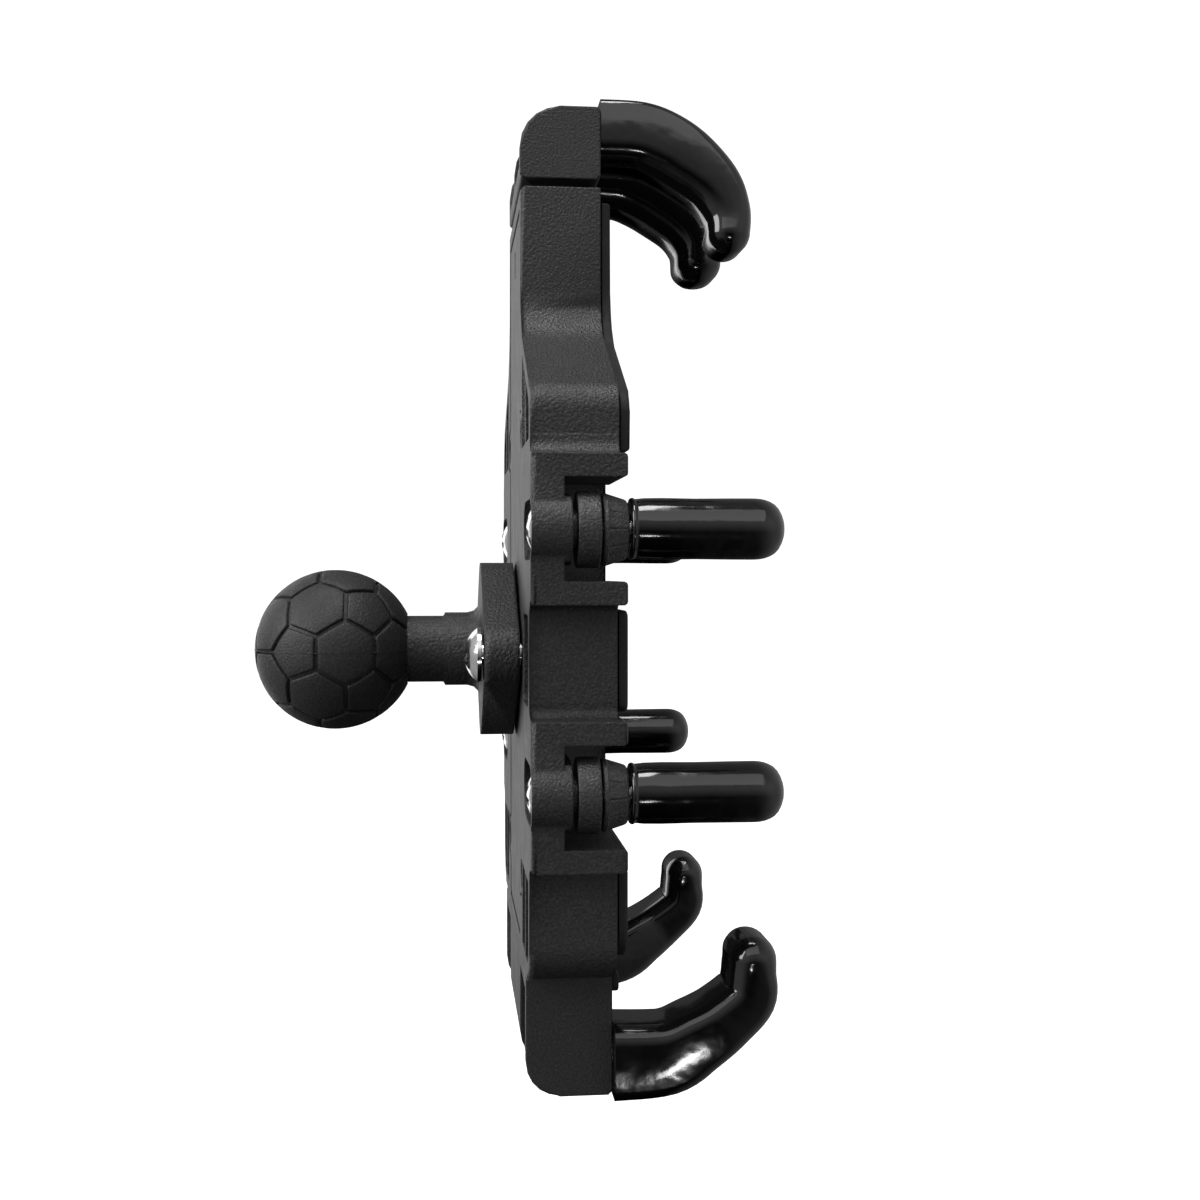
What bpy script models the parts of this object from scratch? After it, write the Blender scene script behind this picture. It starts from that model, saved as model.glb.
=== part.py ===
"""Phone cradle on a rubber-covered ball.

A tall frame carries two sprung jaws, each with two dipped hooks, and four side posts
that slide in channels on the frame's ears. The origin is the centre of the ball, +Z is
up, and the phone side faces -Y. Sizes are in millimetres until a mesh is made, and a
point is written (x, forward, z), where forward is the distance from the ball's centre
towards the phone.
"""

from math import atan2, cos, hypot, pi, radians, sin, sqrt

import bmesh
import bpy
from mathutils import Matrix, Vector

MM = 0.001
GAP = 0.3
SHARP_ANGLE = radians(32)

# Ball base
BALL_R = 12.7
CORE_R = 9.5
NECK_R = 5.3
NECK_COLLAR_R = 5.85
NECK_COLLAR_BACK = 17.0
FLANGE_BACK = 22.9
FLANGE_FRONT = 28.1
FLANGE_HALF_HEIGHT = 13.8
FLANGE_TIP_R = 4.8
FLANGE_EDGE = 0.8
BASE_SCREW_X = 18.6
BASE_SCREW_HEAD_R = 4.05
BASE_SCREW_HEAD_H = 2.6
BASE_SCREW_R = 1.9
BASE_NUT_AF = 7.0
BASE_NUT_BACK = 36.9
BASE_NUT_FRONT = 40.0

# Frame
FRAME_BACK = 28.5
FRAME_FRONT = 40.6
FRAME_SKIN = 2.2
FRAME_TOP = 70.0
FRAME_BOTTOM = -44.5
NECK_HALF_WIDTH = 17.0
SHOULDER_TOP = 49.1
SHOULDER_BOTTOM = 36.8
SHOULDER_TOP_R = 9.0
SHOULDER_BOTTOM_R = 4.5
SHOULDER_HALF_WIDTH = 41.0
SIDE_HALF_WIDTH = 39.0
BOTTOM_CORNER_R = 5.5
BACK_EDGE = 0.7
SIDE_WALL = 2.2
RIB = 1.2

# Ears, one per side post
POST_Z = 18.0
POST_X = 40.0
EAR_HALF_HEIGHT = 10.2
EAR_LIP = 3.2
EAR_HALF_WIDTH = 43.2
EAR_FRONT = 41.6
EAR_INNER_X = 24.0
EAR_FLOOR = 33.0
EAR_BOSS_R = 4.8
EAR_BOSS_FRONT = 34.0
EAR_BOSS_X = 40.6
SLOT_INNER_X = 30.6
SLOT_R = 2.0
COUNTERBORE_R = 4.1
COUNTERBORE_FLOOR = 30.3

# Jaw guide and its cover
GUIDE_HALF_WIDTH = 13.2
GUIDE_BACK = 31.2
COVER_BACK = 28.6
COVER_FRONT = 30.9
COVER_HALF_WIDTH = 14.8
COVER_TOP = 66.7
COVER_BOTTOM = -42.7
COVER_LUG_X = 17.6
COVER_LUG_Z = 33.0
COVER_LUG_R = 3.2
COVER_SCREW_R = 1.0
COVER_SCREW_HEAD_R = 2.0
COVER_SCREW_HEAD_BACK = 28.75
COVER_SCREW_HEAD_FRONT = 29.9
COVER_SLOT_Z = 61.5
POCKET_INNER_X = 22.0

# Rubber pads on the phone side
PAD_BACK = FRAME_FRONT + GAP
PAD_FRONT = 42.2
PAD_INSET = 1.2

# Jaws
TONGUE_HALF_WIDTH = 12.9
TONGUE_RAIL_INNER = 8.3
TONGUE_BACK = 31.5
TONGUE_FRONT = 38.1
TONGUE_MIDDLE = (TONGUE_BACK + TONGUE_FRONT) / 2
HOOK_START = 41.15
HOOK_ROOT = 35.0
HOOK_SPREAD_END = 56.0
HOOK_CORE_HALF_WIDTH = 3.0
HOOK_CORE_HALF_DEPTH = 1.6
HOOK_TIP_R = 3.2
BLOCK_HOLLOW_FRONT = 32.5

# Each jaw: block, tongue, bridge with the spring's pin, and its hooks. A hook's socket_x is
# where its steel enters the block, root_x and tip_x are the sleeve's middle at its two ends,
# and the line is (forward, z, half depth).
UPPER_JAW = {
    "name": "upper", "side": 1, "block": (71.3, 82.1), "half_width": 17.0, "corner_r": 6.0,
    "front": 40.6, "tongue_end": 8.0, "bridge": (36.0, 41.0), "spring": (4.5, 34.5),
    "hollow_x": (1.0, 14.6), "hollow_z": (73.6, 79.6), "root_z": 78.4,
    "socket_x": 11.1, "root_x": 11.1, "tip_x": 11.1, "hook_half_width": 6.1,
    "line": [(HOOK_START, 78.7, 4.9), (46.8, 78.4, 4.9), (50.9, 76.9, 4.8), (54.6, 74.6, 4.5),
             (58.4, 71.2, 4.0), (60.3, 67.6, 3.5), (60.8, 64.3, 3.3)],
}
LOWER_JAW = {
    "name": "lower", "side": -1, "block": (-62.2, -44.9), "half_width": 31.0, "corner_r": 4.8,
    "front": 40.8, "tongue_end": -8.0, "bridge": (-32.0, -27.0), "spring": (-25.5, -4.5),
    "hollow_x": (15.6, 28.8), "hollow_z": (-59.6, -47.2), "root_z": -56.6,
    "socket_x": 27.0, "root_x": 28.5, "tip_x": 30.5, "hook_half_width": 6.1,
    "line": [(HOOK_START, -57.2, 5.5), (48.4, -56.8, 5.3), (53.0, -54.2, 4.6), (57.0, -51.2, 3.9),
             (60.0, -48.1, 3.6), (60.5, -44.4, 3.3), (60.7, -42.9, 3.3)],
}

# Springs and their pins
SPRING_R = 2.6
SPRING_WIRE_R = 0.45
SPRING_PITCH = 3.3
PIN_R = 1.2

# Side posts
POST_HEAD_R = 3.7
POST_HEAD_BACK = 28.0
POST_HEAD_FRONT = 30.0
POST_STUD_R = 1.6
POST_STUD_FRONT = 57.5
COLLAR_R = 5.2
COLLAR_BACK = 35.1
COLLAR_FRONT = 37.9
NUT_BACK_R = 5.0
NUT_FRONT_R = 4.1
NUT_BACK = 38.2
NUT_FRONT = 41.7
NUT_FACETS = 12
CAP_R = 4.15
CAP_BACK = 42.0
CAP_FRONT = 63.4
CAP_BORE_R = 2.1
CAP_BORE_FRONT = 58.2
THREAD_CLEARANCE_R = 2.0


def point(x, forward, z):
    """A point of the cradle, in metres in Blender's axes."""
    return Vector((x, -forward, z)) * MM


def clear_scene():
    for item in list(bpy.data.objects):
        bpy.data.objects.remove(item, do_unlink=True)


def material(name, colour, roughness, metallic=0.0):
    made = bpy.data.materials.new(name)
    made.use_nodes = True
    shader = made.node_tree.nodes["Principled BSDF"]
    shader.inputs["Base Color"].default_value = (*colour, 1.0)
    shader.inputs["Roughness"].default_value = roughness
    shader.inputs["Metallic"].default_value = metallic
    return made


def look(node, kind):
    """Each node's own material, of one of a few kinds."""
    kinds = {
        "plastic": ((0.035, 0.035, 0.037), 0.5, 0.0),
        "rubber": ((0.02, 0.02, 0.02), 0.7, 0.0),
        "vinyl": ((0.008, 0.008, 0.008), 0.12, 0.0),
        "casting": ((0.022, 0.022, 0.023), 0.6, 0.0),
        "steel": ((0.72, 0.72, 0.73), 0.2, 1.0),
    }
    return material(node + "_look", *kinds[kind])


def finish_mesh(bm, name, kind=None):
    """Turn a bmesh into a linked object, faces pointing out and round faces smooth."""
    bmesh.ops.recalc_face_normals(bm, faces=bm.faces)
    mesh = bpy.data.meshes.new(name)
    bm.to_mesh(mesh)
    bm.free()
    made = bpy.data.objects.new(name, mesh)
    bpy.context.scene.collection.objects.link(made)
    if kind:
        mesh.materials.append(look(name, kind))
        mesh.shade_smooth()
        mesh.set_sharp_from_angle(angle=SHARP_ANGLE)
    return made


def as_cutter(tool):
    tool.hide_render = True
    tool.display_type = "WIRE"
    return tool


def boolean(target, tool, operation="DIFFERENCE"):
    as_cutter(tool)
    step = target.modifiers.new(tool.name, "BOOLEAN")
    step.operation = operation
    step.object = tool
    step.solver = "EXACT"
    return step


def bevel_edges(bm, edges, width, segments=2):
    bmesh.ops.bevel(bm, geom=edges, offset=width * MM, segments=segments,
                    profile=0.5, affect="EDGES", clamp_overlap=True)


def arc(centre, radius, start, end, steps):
    """Points on an arc, angles in degrees."""
    turn = [radians(start + (end - start) * i / steps) for i in range(steps + 1)]
    return [(centre[0] + radius * cos(a), centre[1] + radius * sin(a)) for a in turn]


def rounded(corners, steps=4):
    """An outline with its corners, each (u, v, radius), turned into arcs."""
    outline = []
    for i, (u, v, radius) in enumerate(corners):
        here = Vector((u, v))
        if radius <= 0:
            outline.append((u, v))
            continue
        before = (Vector(corners[i - 1][:2]) - here).normalized()
        after = (Vector(corners[(i + 1) % len(corners)][:2]) - here).normalized()
        half = before.angle(after) / 2
        centre = here + (before + after).normalized() * (radius / sin(half))
        first = here + before * (radius * cos(half) / sin(half)) - centre
        last = here + after * (radius * cos(half) / sin(half)) - centre
        start = atan2(first.y, first.x)
        sweep = (atan2(last.y, last.x) - start + pi) % (2 * pi) - pi
        for k in range(steps + 1):
            angle = start + sweep * k / steps
            outline.append((centre.x + radius * cos(angle), centre.y + radius * sin(angle)))
    return outline


def box_outline(u0, u1, v0, v1, radius=0.0, steps=4):
    return rounded([(u0, v0, radius), (u1, v0, radius), (u1, v1, radius), (u0, v1, radius)], steps)


def racetrack(x0, x1, z, radius, steps=8):
    """A slot's outline from centre x0 to centre x1."""
    low, high = min(x0, x1), max(x0, x1)
    return (arc((high, z), radius, -90, 90, steps) + arc((low, z), radius, 90, 270, steps))


def plate(name, outline, back, front, kind=None, edge=0.0, edge_side="front"):
    """An outline in x and z, extruded from back to front, with its front or back rim bevelled."""
    bm = bmesh.new()
    rear = [bm.verts.new(point(u, back, v)) for u, v in outline]
    fore = [bm.verts.new(point(u, front, v)) for u, v in outline]
    count = len(outline)
    bm.faces.new(rear)
    bm.faces.new(fore[::-1])
    for i in range(count):
        bm.faces.new((rear[i], rear[(i + 1) % count], fore[(i + 1) % count], fore[i]))
    if edge:
        rim = set(fore if edge_side == "front" else rear)
        bevel_edges(bm, [e for e in bm.edges if set(e.verts) <= rim], edge)
    return finish_mesh(bm, name, kind)


def bar(name, outline, x0, x1, kind=None, edge=0.0):
    """An outline in forward and z, extruded along x, with its end rims bevelled."""
    bm = bmesh.new()
    near = [bm.verts.new(point(x0, u, v)) for u, v in outline]
    far = [bm.verts.new(point(x1, u, v)) for u, v in outline]
    count = len(outline)
    bm.faces.new(near)
    bm.faces.new(far[::-1])
    for i in range(count):
        bm.faces.new((near[i], near[(i + 1) % count], far[(i + 1) % count], far[i]))
    if edge:
        ends = [e for e in bm.edges if set(e.verts) <= set(near) or set(e.verts) <= set(far)]
        bevel_edges(bm, ends, edge)
    return finish_mesh(bm, name, kind)


def turned(name, profile, x, z, sides, kind=None, closed=False):
    """A profile of (radius, forward) turned about the fore-and-aft line through x and z."""
    bm = bmesh.new()
    rings = []
    for radius, forward in profile:
        if radius == 0:
            rings.append([bm.verts.new(point(x, forward, z))])
            continue
        angles = [2 * pi * k / sides for k in range(sides)]
        rings.append([bm.verts.new(point(x + radius * cos(a), forward, z + radius * sin(a)))
                      for a in angles])
    pairs = list(zip(rings, rings[1:])) + ([(rings[-1], rings[0])] if closed else [])
    for first, second in pairs:
        for k in range(sides):
            corners = [first[k % len(first)], first[(k + 1) % len(first)],
                       second[(k + 1) % len(second)], second[k % len(second)]]
            corners = list(dict.fromkeys(corners))
            if len(corners) > 2:
                bm.faces.new(corners)
    if not closed:
        for ring in (rings[0], rings[-1]):
            if len(ring) > 1:
                bm.faces.new(ring)
    return finish_mesh(bm, name, kind)


def dome(radius, height, base, tip, steps=3):
    """A shallow dome's profile, from its tip on the axis to its rim at the base."""
    sphere_r = (radius ** 2 + height ** 2) / (2 * height)
    half = atan2(radius, sphere_r - height)
    away = 1 if base > tip else -1
    profile = [(sphere_r * sin(half * k / steps),
                tip + away * sphere_r * (1 - cos(half * k / steps))) for k in range(steps + 1)]
    profile[0] = (0, tip)
    return profile


def screw(name, x, z, head_r, head_back, head_front, shank_r, shank_front, sides=12):
    """A dome-headed screw that points forward."""
    rim = head_front - 0.25 * (head_front - head_back)
    profile = dome(head_r, rim - head_back, rim, head_back)
    profile += [(head_r, head_front), (shank_r, head_front), (shank_r, shank_front), (0, shank_front)]
    return turned(name, profile, x, z, sides, "steel")


def mirrored(half):
    """A right-hand outline, top to bottom, closed with its left-hand mirror image."""
    return half + [(-u, v) for u, v in reversed(half)]


def shoulder_corners(inset=0.0):
    """The shoulder's upper and lower corners, as (x, z, radius), moved in by inset."""
    run = SHOULDER_HALF_WIDTH - NECK_HALF_WIDTH
    drop = SHOULDER_TOP - SHOULDER_BOTTOM
    lower = inset * (hypot(run, drop) - drop) / run
    return [(NECK_HALF_WIDTH - inset, SHOULDER_TOP - lower, SHOULDER_TOP_R + inset),
            (SHOULDER_HALF_WIDTH - inset, SHOULDER_BOTTOM - lower, SHOULDER_BOTTOM_R - inset)]


def shoulder(inset=0.0, steps=6):
    """The frame's shoulder from its narrow neck to its wide ears: a hollow, a flank, a round."""
    upper, lower = shoulder_corners(inset)
    ends = [(upper[0], FRAME_TOP, 0), upper, lower, (lower[0], POST_Z, 0)]
    return rounded(ends, steps)[1:-1]


def flank_z(x, inset):
    """The height of the shoulder's straight flank at x, moved in by inset."""
    (x0, z0, _), (x1, z1, _) = shoulder_corners(inset)
    return z0 + (z1 - z0) * (x - x0) / (x1 - x0)


def frame_outline():
    """The silhouette of the frame's moulding, seen from the phone side."""
    upper_ear = POST_Z + EAR_HALF_HEIGHT
    lower_ear = POST_Z - EAR_HALF_HEIGHT
    bottom = rounded([(SIDE_HALF_WIDTH, -upper_ear, 0), (SIDE_HALF_WIDTH, FRAME_BOTTOM, BOTTOM_CORNER_R),
                      (0, FRAME_BOTTOM, 0)], 6)[:-1]
    half = [(NECK_HALF_WIDTH, FRAME_TOP)] + shoulder()
    half += [(SHOULDER_HALF_WIDTH, upper_ear), (EAR_HALF_WIDTH, upper_ear), (EAR_HALF_WIDTH, lower_ear)]
    half += rounded_step(lower_ear) + rounded_step(-lower_ear)
    half += [(EAR_HALF_WIDTH, -lower_ear), (EAR_HALF_WIDTH, -upper_ear)] + bottom
    return mirrored(half)


def rounded_step(z):
    """The small hollow where the side wall meets an ear."""
    hollow_r = 1.6
    if z > 0:
        return arc((SIDE_HALF_WIDTH + hollow_r, z - hollow_r), hollow_r, 90, 180, 4)
    return arc((SIDE_HALF_WIDTH + hollow_r, z + hollow_r), hollow_r, 180, 270, 4)


def halves(x0, x1):
    """The two stretches left between x0 and x1 by a rib down the middle."""
    middle = (x0 + x1) / 2
    return [(x0, middle - RIB / 2), (middle + RIB / 2, x1)]


def pocket_outlines():
    """The hollows in the back of the right-hand flank, with a rib down the upper and lower ones."""
    upper_ear = POST_Z + EAR_HALF_HEIGHT
    lower_ear = POST_Z - EAR_HALF_HEIGHT
    floor = upper_ear + SIDE_WALL
    outer = SHOULDER_HALF_WIDTH - SIDE_WALL
    side = SIDE_HALF_WIDTH - SIDE_WALL
    base = FRAME_BOTTOM + SIDE_WALL
    inner = BASE_SCREW_X + BASE_NUT_AF / 2 + SIDE_WALL + 1.0
    outlines = [box_outline(inner, side, 1.5 - lower_ear, lower_ear - 1.5, 1.0, 2)]
    for x0, x1 in halves(POCKET_INNER_X, outer):
        radius = SHOULDER_BOTTOM_R - SIDE_WALL if x1 == outer else 0
        outlines.append(rounded([(x0, floor, 0), (x0, flank_z(x0, SIDE_WALL), 0),
                                 (x1, flank_z(x1, SIDE_WALL), radius), (x1, floor, 0)], 3))
    for x0, x1 in halves(POCKET_INNER_X, side):
        radius = BOTTOM_CORNER_R - SIDE_WALL if x1 == side else 0
        outlines.append(rounded([(x0, -floor, 0), (x1, -floor, 0), (x1, base, radius), (x0, base, 0)], 4))
    return outlines


def both_sides(outline):
    return [outline, [(-u, v) for u, v in outline]]


def post_places():
    """The four side posts: name, sign of x and sign of z."""
    return [("upper_left", -1, 1), ("upper_right", 1, 1), ("lower_left", -1, -1), ("lower_right", 1, -1)]


def cover_outline(grow=0.0):
    """The rear cover's outline, with its four screw lugs, made larger by grow."""
    width = COVER_HALF_WIDTH + grow
    lug = COVER_LUG_R + grow
    half = [(width, COVER_TOP + grow)]
    for z in (COVER_LUG_Z, -COVER_LUG_Z):
        half += [(width, z + lug)] + arc((COVER_LUG_X, z), lug, 90, -90, 8) + [(width, z - lug)]
    half += [(width, COVER_BOTTOM - grow)]
    return mirrored(half)


def hexagon(x, z, across_flats):
    radius = across_flats / sqrt(3)
    return [(x + radius * cos(pi * k / 3), z + radius * sin(pi * k / 3)) for k in range(6)]


def cut_guide(body):
    """The jaws' guide, open at both ends, the cover's recess and the flanks' hollows."""
    skin = FRAME_FRONT - FRAME_SKIN
    over = 4.0
    guide = box_outline(-GUIDE_HALF_WIDTH, GUIDE_HALF_WIDTH, FRAME_BOTTOM - over, FRAME_TOP + over)
    boolean(body, plate("cut_guide", guide, GUIDE_BACK, skin))
    boolean(body, plate("cut_cover_recess", cover_outline(GAP), FRAME_BACK - over, GUIDE_BACK + 0.1))
    for index, outline in enumerate(pocket_outlines()):
        for side, shape in zip(("right", "left"), both_sides(outline)):
            boolean(body, plate(f"cut_pocket_{index}_{side}", shape, FRAME_BACK - over, skin))


def cut_ear(body, name, side, level):
    """One ear's channel, raised slot rail, slot and the recess for the screw's head."""
    z = POST_Z * level
    over = 6.0
    half = EAR_HALF_HEIGHT - EAR_LIP
    channel = box_outline(EAR_INNER_X, EAR_HALF_WIDTH + over, z - half, z + half)
    rail = racetrack(SLOT_INNER_X, EAR_BOSS_X, z, EAR_BOSS_R)
    slot = racetrack(SLOT_INNER_X, EAR_BOSS_X, z, SLOT_R)
    recess = racetrack(SLOT_INNER_X, EAR_BOSS_X, z, COUNTERBORE_R)
    steps = [
        ("channel", channel, EAR_FLOOR, EAR_FRONT + over, "DIFFERENCE"),
        ("rail", rail, FRAME_BACK, EAR_BOSS_FRONT, "UNION"),
        ("slot", slot, FRAME_BACK - over, EAR_BOSS_FRONT + over, "DIFFERENCE"),
        ("head_recess", recess, FRAME_BACK - over, COUNTERBORE_FLOOR, "DIFFERENCE"),
    ]
    for label, outline, back, front, operation in steps:
        shape = [(side * u, v) for u, v in outline]
        boolean(body, plate(f"{operation.lower()}_{name}_{label}", shape, back, front), operation)


def ear_lips(body, name, side, level):
    """The two lips of one ear, which stand a little proud of the frame's front."""
    root = FRAME_FRONT - 3.0
    half = EAR_HALF_HEIGHT - EAR_LIP / 2
    for label, offset in (("outer", half), ("inner", -half)):
        centre = POST_Z + offset
        outline = box_outline(EAR_INNER_X, EAR_HALF_WIDTH, centre - EAR_LIP / 2, centre + EAR_LIP / 2)
        shape = [(side * u, level * v) for u, v in outline]
        lip = plate(f"add_{name}_lip_{label}", shape, root, EAR_FRONT, None, 0.5)
        boolean(body, lip, "UNION")


def cut_screw_places(body):
    """Holes and nut pockets for the ball base's screws, holes for the cover's screws and a spring's pin."""
    over = 4.0
    for side in (-1, 1):
        x = BASE_SCREW_X * side
        hole = arc((x, 0), BASE_SCREW_R + GAP, 0, 345, 15)
        boolean(body, plate(f"cut_base_hole_{side}", hole, FRAME_BACK - over, FRAME_FRONT + over))
        pocket = hexagon(x, 0, BASE_NUT_AF + 2 * GAP)
        boolean(body, plate(f"cut_nut_pocket_{side}", pocket, BASE_NUT_BACK - GAP, FRAME_FRONT + over))
        for level in (-1, 1):
            place = (COVER_LUG_X * side, COVER_LUG_Z * level)
            hole = arc(place, COVER_SCREW_R + GAP, 0, 330, 11)
            boolean(body, plate(f"cut_cover_hole_{side}_{level}", hole, GUIDE_BACK - 1.0, GUIDE_BACK + 5.4))
    socket = arc((0, 0), PIN_R + GAP, 0, 330, 11)
    boolean(body, plate("cut_pin_socket", socket, FRAME_FRONT - FRAME_SKIN - 0.5, FRAME_FRONT - 0.7))


def build_frame_body():
    body = plate("frame_body", frame_outline(), FRAME_BACK, FRAME_FRONT, "plastic", BACK_EDGE, "back")
    for name, side, level in post_places():
        ear_lips(body, name, side, level)
    for name, side, level in post_places():
        cut_ear(body, name, side, level)
    cut_guide(body)
    cut_screw_places(body)


def build_rear_cover():
    cover = plate("rear_cover", cover_outline(), COVER_BACK, COVER_FRONT, "plastic", 0.3, "back")
    for side in (-1, 1):
        for level in (-1, 1):
            place = (COVER_LUG_X * side, COVER_LUG_Z * level)
            hole = arc(place, COVER_SCREW_R + GAP, 0, 330, 11)
            recess = arc(place, COVER_SCREW_HEAD_R + GAP, 0, 330, 11)
            boolean(cover, plate(f"cut_lug_{side}_{level}", hole, COVER_BACK - 2, COVER_FRONT + 2))
            boolean(cover, plate(f"cut_lug_recess_{side}_{level}", recess, COVER_BACK - 2,
                                 COVER_SCREW_HEAD_FRONT + GAP))
            screw(f"cover_screw_{'upper' if level > 0 else 'lower'}_{'right' if side > 0 else 'left'}",
                  place[0], place[1], COVER_SCREW_HEAD_R, COVER_SCREW_HEAD_BACK,
                  COVER_SCREW_HEAD_FRONT, COVER_SCREW_R, GUIDE_BACK + 4.8, 10)
    slot = box_outline(-1.2, 1.2, COVER_SLOT_Z - 2.2, COVER_SLOT_Z + 2.2, 0.6, 2)
    boolean(cover, plate("cut_cover_slot", slot, COVER_BACK - 2, COVER_FRONT + 2))


def build_pads():
    """Rubber pads: the upper one follows the shoulders, the others the frame's sides."""
    ear = POST_Z + EAR_HALF_HEIGHT
    upper = [(NECK_HALF_WIDTH - PAD_INSET, FRAME_TOP - 5.0)] + shoulder(PAD_INSET, 5)
    upper += [(SHOULDER_HALF_WIDTH - PAD_INSET, ear + 0.5)]
    plate("pad_upper", mirrored(upper), PAD_BACK, PAD_FRONT, "rubber", 0.4)
    width = SIDE_HALF_WIDTH - PAD_INSET + 0.2
    middle = box_outline(-width, width, -7.0, 7.0, 1.2, 3)
    plate("pad_middle", middle, PAD_BACK, PAD_FRONT, "rubber", 0.4)
    lower = rounded([(width, -ear - 0.5, 0), (width, FRAME_BOTTOM + 3.0, BOTTOM_CORNER_R - 1),
                     (0, FRAME_BOTTOM + 3.0, 0)], 4)[:-1]
    plate("pad_lower", mirrored(lower), PAD_BACK, PAD_FRONT, "rubber", 0.4)


def flange_outline():
    """A diamond: a round middle with a small round tip at each screw."""
    lean = atan2(FLANGE_HALF_HEIGHT - FLANGE_TIP_R, BASE_SCREW_X) * 180 / pi
    middle = arc((0, 0), FLANGE_HALF_HEIGHT, 90 + lean, 90 - lean, 6)
    tip = arc((BASE_SCREW_X, 0), FLANGE_TIP_R, 90 - lean, lean - 90, 10)
    lower = arc((0, 0), FLANGE_HALF_HEIGHT, lean - 90, -90 - lean, 6)
    far_tip = arc((-BASE_SCREW_X, 0), FLANGE_TIP_R, 270 - lean, 90 + lean, 10)
    return middle + tip + lower + far_tip


def build_ball_base():
    """The casting: a flange with two screw holes, a stepped neck and the ball's core."""
    base = plate("ball_base", flange_outline(), FLANGE_BACK, FLANGE_FRONT, "casting", FLANGE_EDGE, "back")
    core_end = atan2(NECK_R, sqrt(CORE_R ** 2 - NECK_R ** 2)) * 180 / pi
    profile = [(r, -f) for f, r in arc((0, 0), CORE_R, 0, 180 - core_end, 7)]
    profile[0] = (0, -CORE_R)
    fillet = FLANGE_BACK - 2.1
    profile += [(NECK_R, NECK_COLLAR_BACK), (NECK_COLLAR_R, NECK_COLLAR_BACK + 0.3)]
    profile += [(NECK_COLLAR_R + 2.1 - 2.1 * cos(radians(a)), fillet + 2.1 * sin(radians(a)))
                for a in (0, 30, 60, 90)]
    profile += [(NECK_COLLAR_R + 2.1, FLANGE_BACK + 1.5), (0, FLANGE_BACK + 1.5)]
    boolean(base, turned("add_neck", profile, 0, 0, 20), "UNION")
    for side in (-1, 1):
        hole = arc((BASE_SCREW_X * side, 0), BASE_SCREW_R + GAP, 0, 345, 15)
        boolean(base, plate(f"cut_flange_hole_{side}", hole, FLANGE_BACK - 3, FLANGE_FRONT + 3))


def build_ball_cover():
    """The rubber shell moulded round the core, open where the neck comes out."""
    opening = NECK_R + GAP
    inner_r = CORE_R + GAP
    outer_end = 180 - atan2(opening, sqrt(BALL_R ** 2 - opening ** 2)) * 180 / pi
    inner_end = 180 - atan2(opening, sqrt(inner_r ** 2 - opening ** 2)) * 180 / pi
    outer = [(r, -f) for f, r in arc((0, 0), BALL_R, 0, outer_end, 12)]
    inner = [(r, -f) for f, r in arc((0, 0), inner_r, inner_end, 0, 6)]
    outer[0] = (0, -BALL_R)
    inner[-1] = (0, -inner_r)
    turned("ball_cover", outer + inner, 0, 0, 24, "rubber")


def build_base_fasteners():
    for label, side in (("left", -1), ("right", 1)):
        x = BASE_SCREW_X * side
        head_front = FLANGE_BACK - GAP
        screw(f"base_screw_{label}", x, 0, BASE_SCREW_HEAD_R, head_front - BASE_SCREW_HEAD_H,
              head_front, BASE_SCREW_R, BASE_NUT_FRONT + 0.1)
        nut = plate(f"base_nut_{label}", hexagon(x, 0, BASE_NUT_AF), BASE_NUT_BACK, BASE_NUT_FRONT, "steel")
        hole = arc((x, 0), BASE_SCREW_R + GAP, 0, 345, 15)
        boolean(nut, plate(f"cut_nut_bore_{side}", hole, BASE_NUT_BACK - 1, BASE_NUT_FRONT + 1))


def section(half_width, half_depth, corner, steps):
    """A rounded rectangle across a hook, as (along x, across the hook)."""
    corner = min(corner, half_width - 0.05, half_depth - 0.05)
    return box_outline(-half_width, half_width, -half_depth, half_depth, corner, steps)


def smooth_line(points, steps):
    """A smooth curve through points of any number of values, steps to each span."""
    line = []
    for i in range(len(points) - 1):
        p0 = points[max(i - 1, 0)]
        p1, p2 = points[i], points[i + 1]
        p3 = points[min(i + 2, len(points) - 1)]
        for k in range(steps):
            t = k / steps
            line.append(tuple(
                0.5 * (2 * b + (c - a) * t + (2 * a - 5 * b + 4 * c - d) * t * t
                       + (3 * b - a - 3 * c + d) * t ** 3)
                for a, b, c, d in zip(p0, p1, p2, p3)))
    return line + [tuple(points[-1])]


def ring_stack(bm, line, half_width, corner, tip_r, steps):
    """Rings of a hook along its line, each (x, forward, z, half depth), with a rounded tip."""
    rings = []
    count = len(line)
    for i, (x, forward, z, depth) in enumerate(line):
        before, after = line[max(i - 1, 0)], line[min(i + 1, count - 1)]
        along = Vector((after[1] - before[1], after[2] - before[2])).normalized()
        if i == 0:
            along = Vector((1, 0))
        across = Vector((-along.y, along.x))
        rings.append([bm.verts.new(point(x + u, forward + across.x * v, z + across.y * v))
                      for u, v in section(half_width, depth, corner, steps)])
    x, forward, z, depth = line[-1]
    for angle in (30, 58, 80):
        shrink = cos(radians(angle))
        ahead = tip_r * sin(radians(angle))
        width = half_width - tip_r * (1 - shrink)
        spread = depth - tip_r * (1 - shrink)
        centre = Vector((forward, z)) + along * ahead
        rings.append([bm.verts.new(point(x + u, centre.x + across.x * v, centre.y + across.y * v))
                      for u, v in section(max(width, 0.3), max(spread, 0.3), corner, steps)])
    return rings


def skin_rings(bm, rings):
    for first, second in zip(rings, rings[1:]):
        count = len(first)
        for k in range(count):
            bm.faces.new((first[k], first[(k + 1) % count], second[(k + 1) % count], second[k]))


def hook_x(jaw, forward):
    """How far out a sleeve's middle is: it can spread between its root and its elbow."""
    t = (forward - HOOK_START) / (HOOK_SPREAD_END - HOOK_START)
    return jaw["root_x"] + (jaw["tip_x"] - jaw["root_x"]) * min(t, 1.0)


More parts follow.
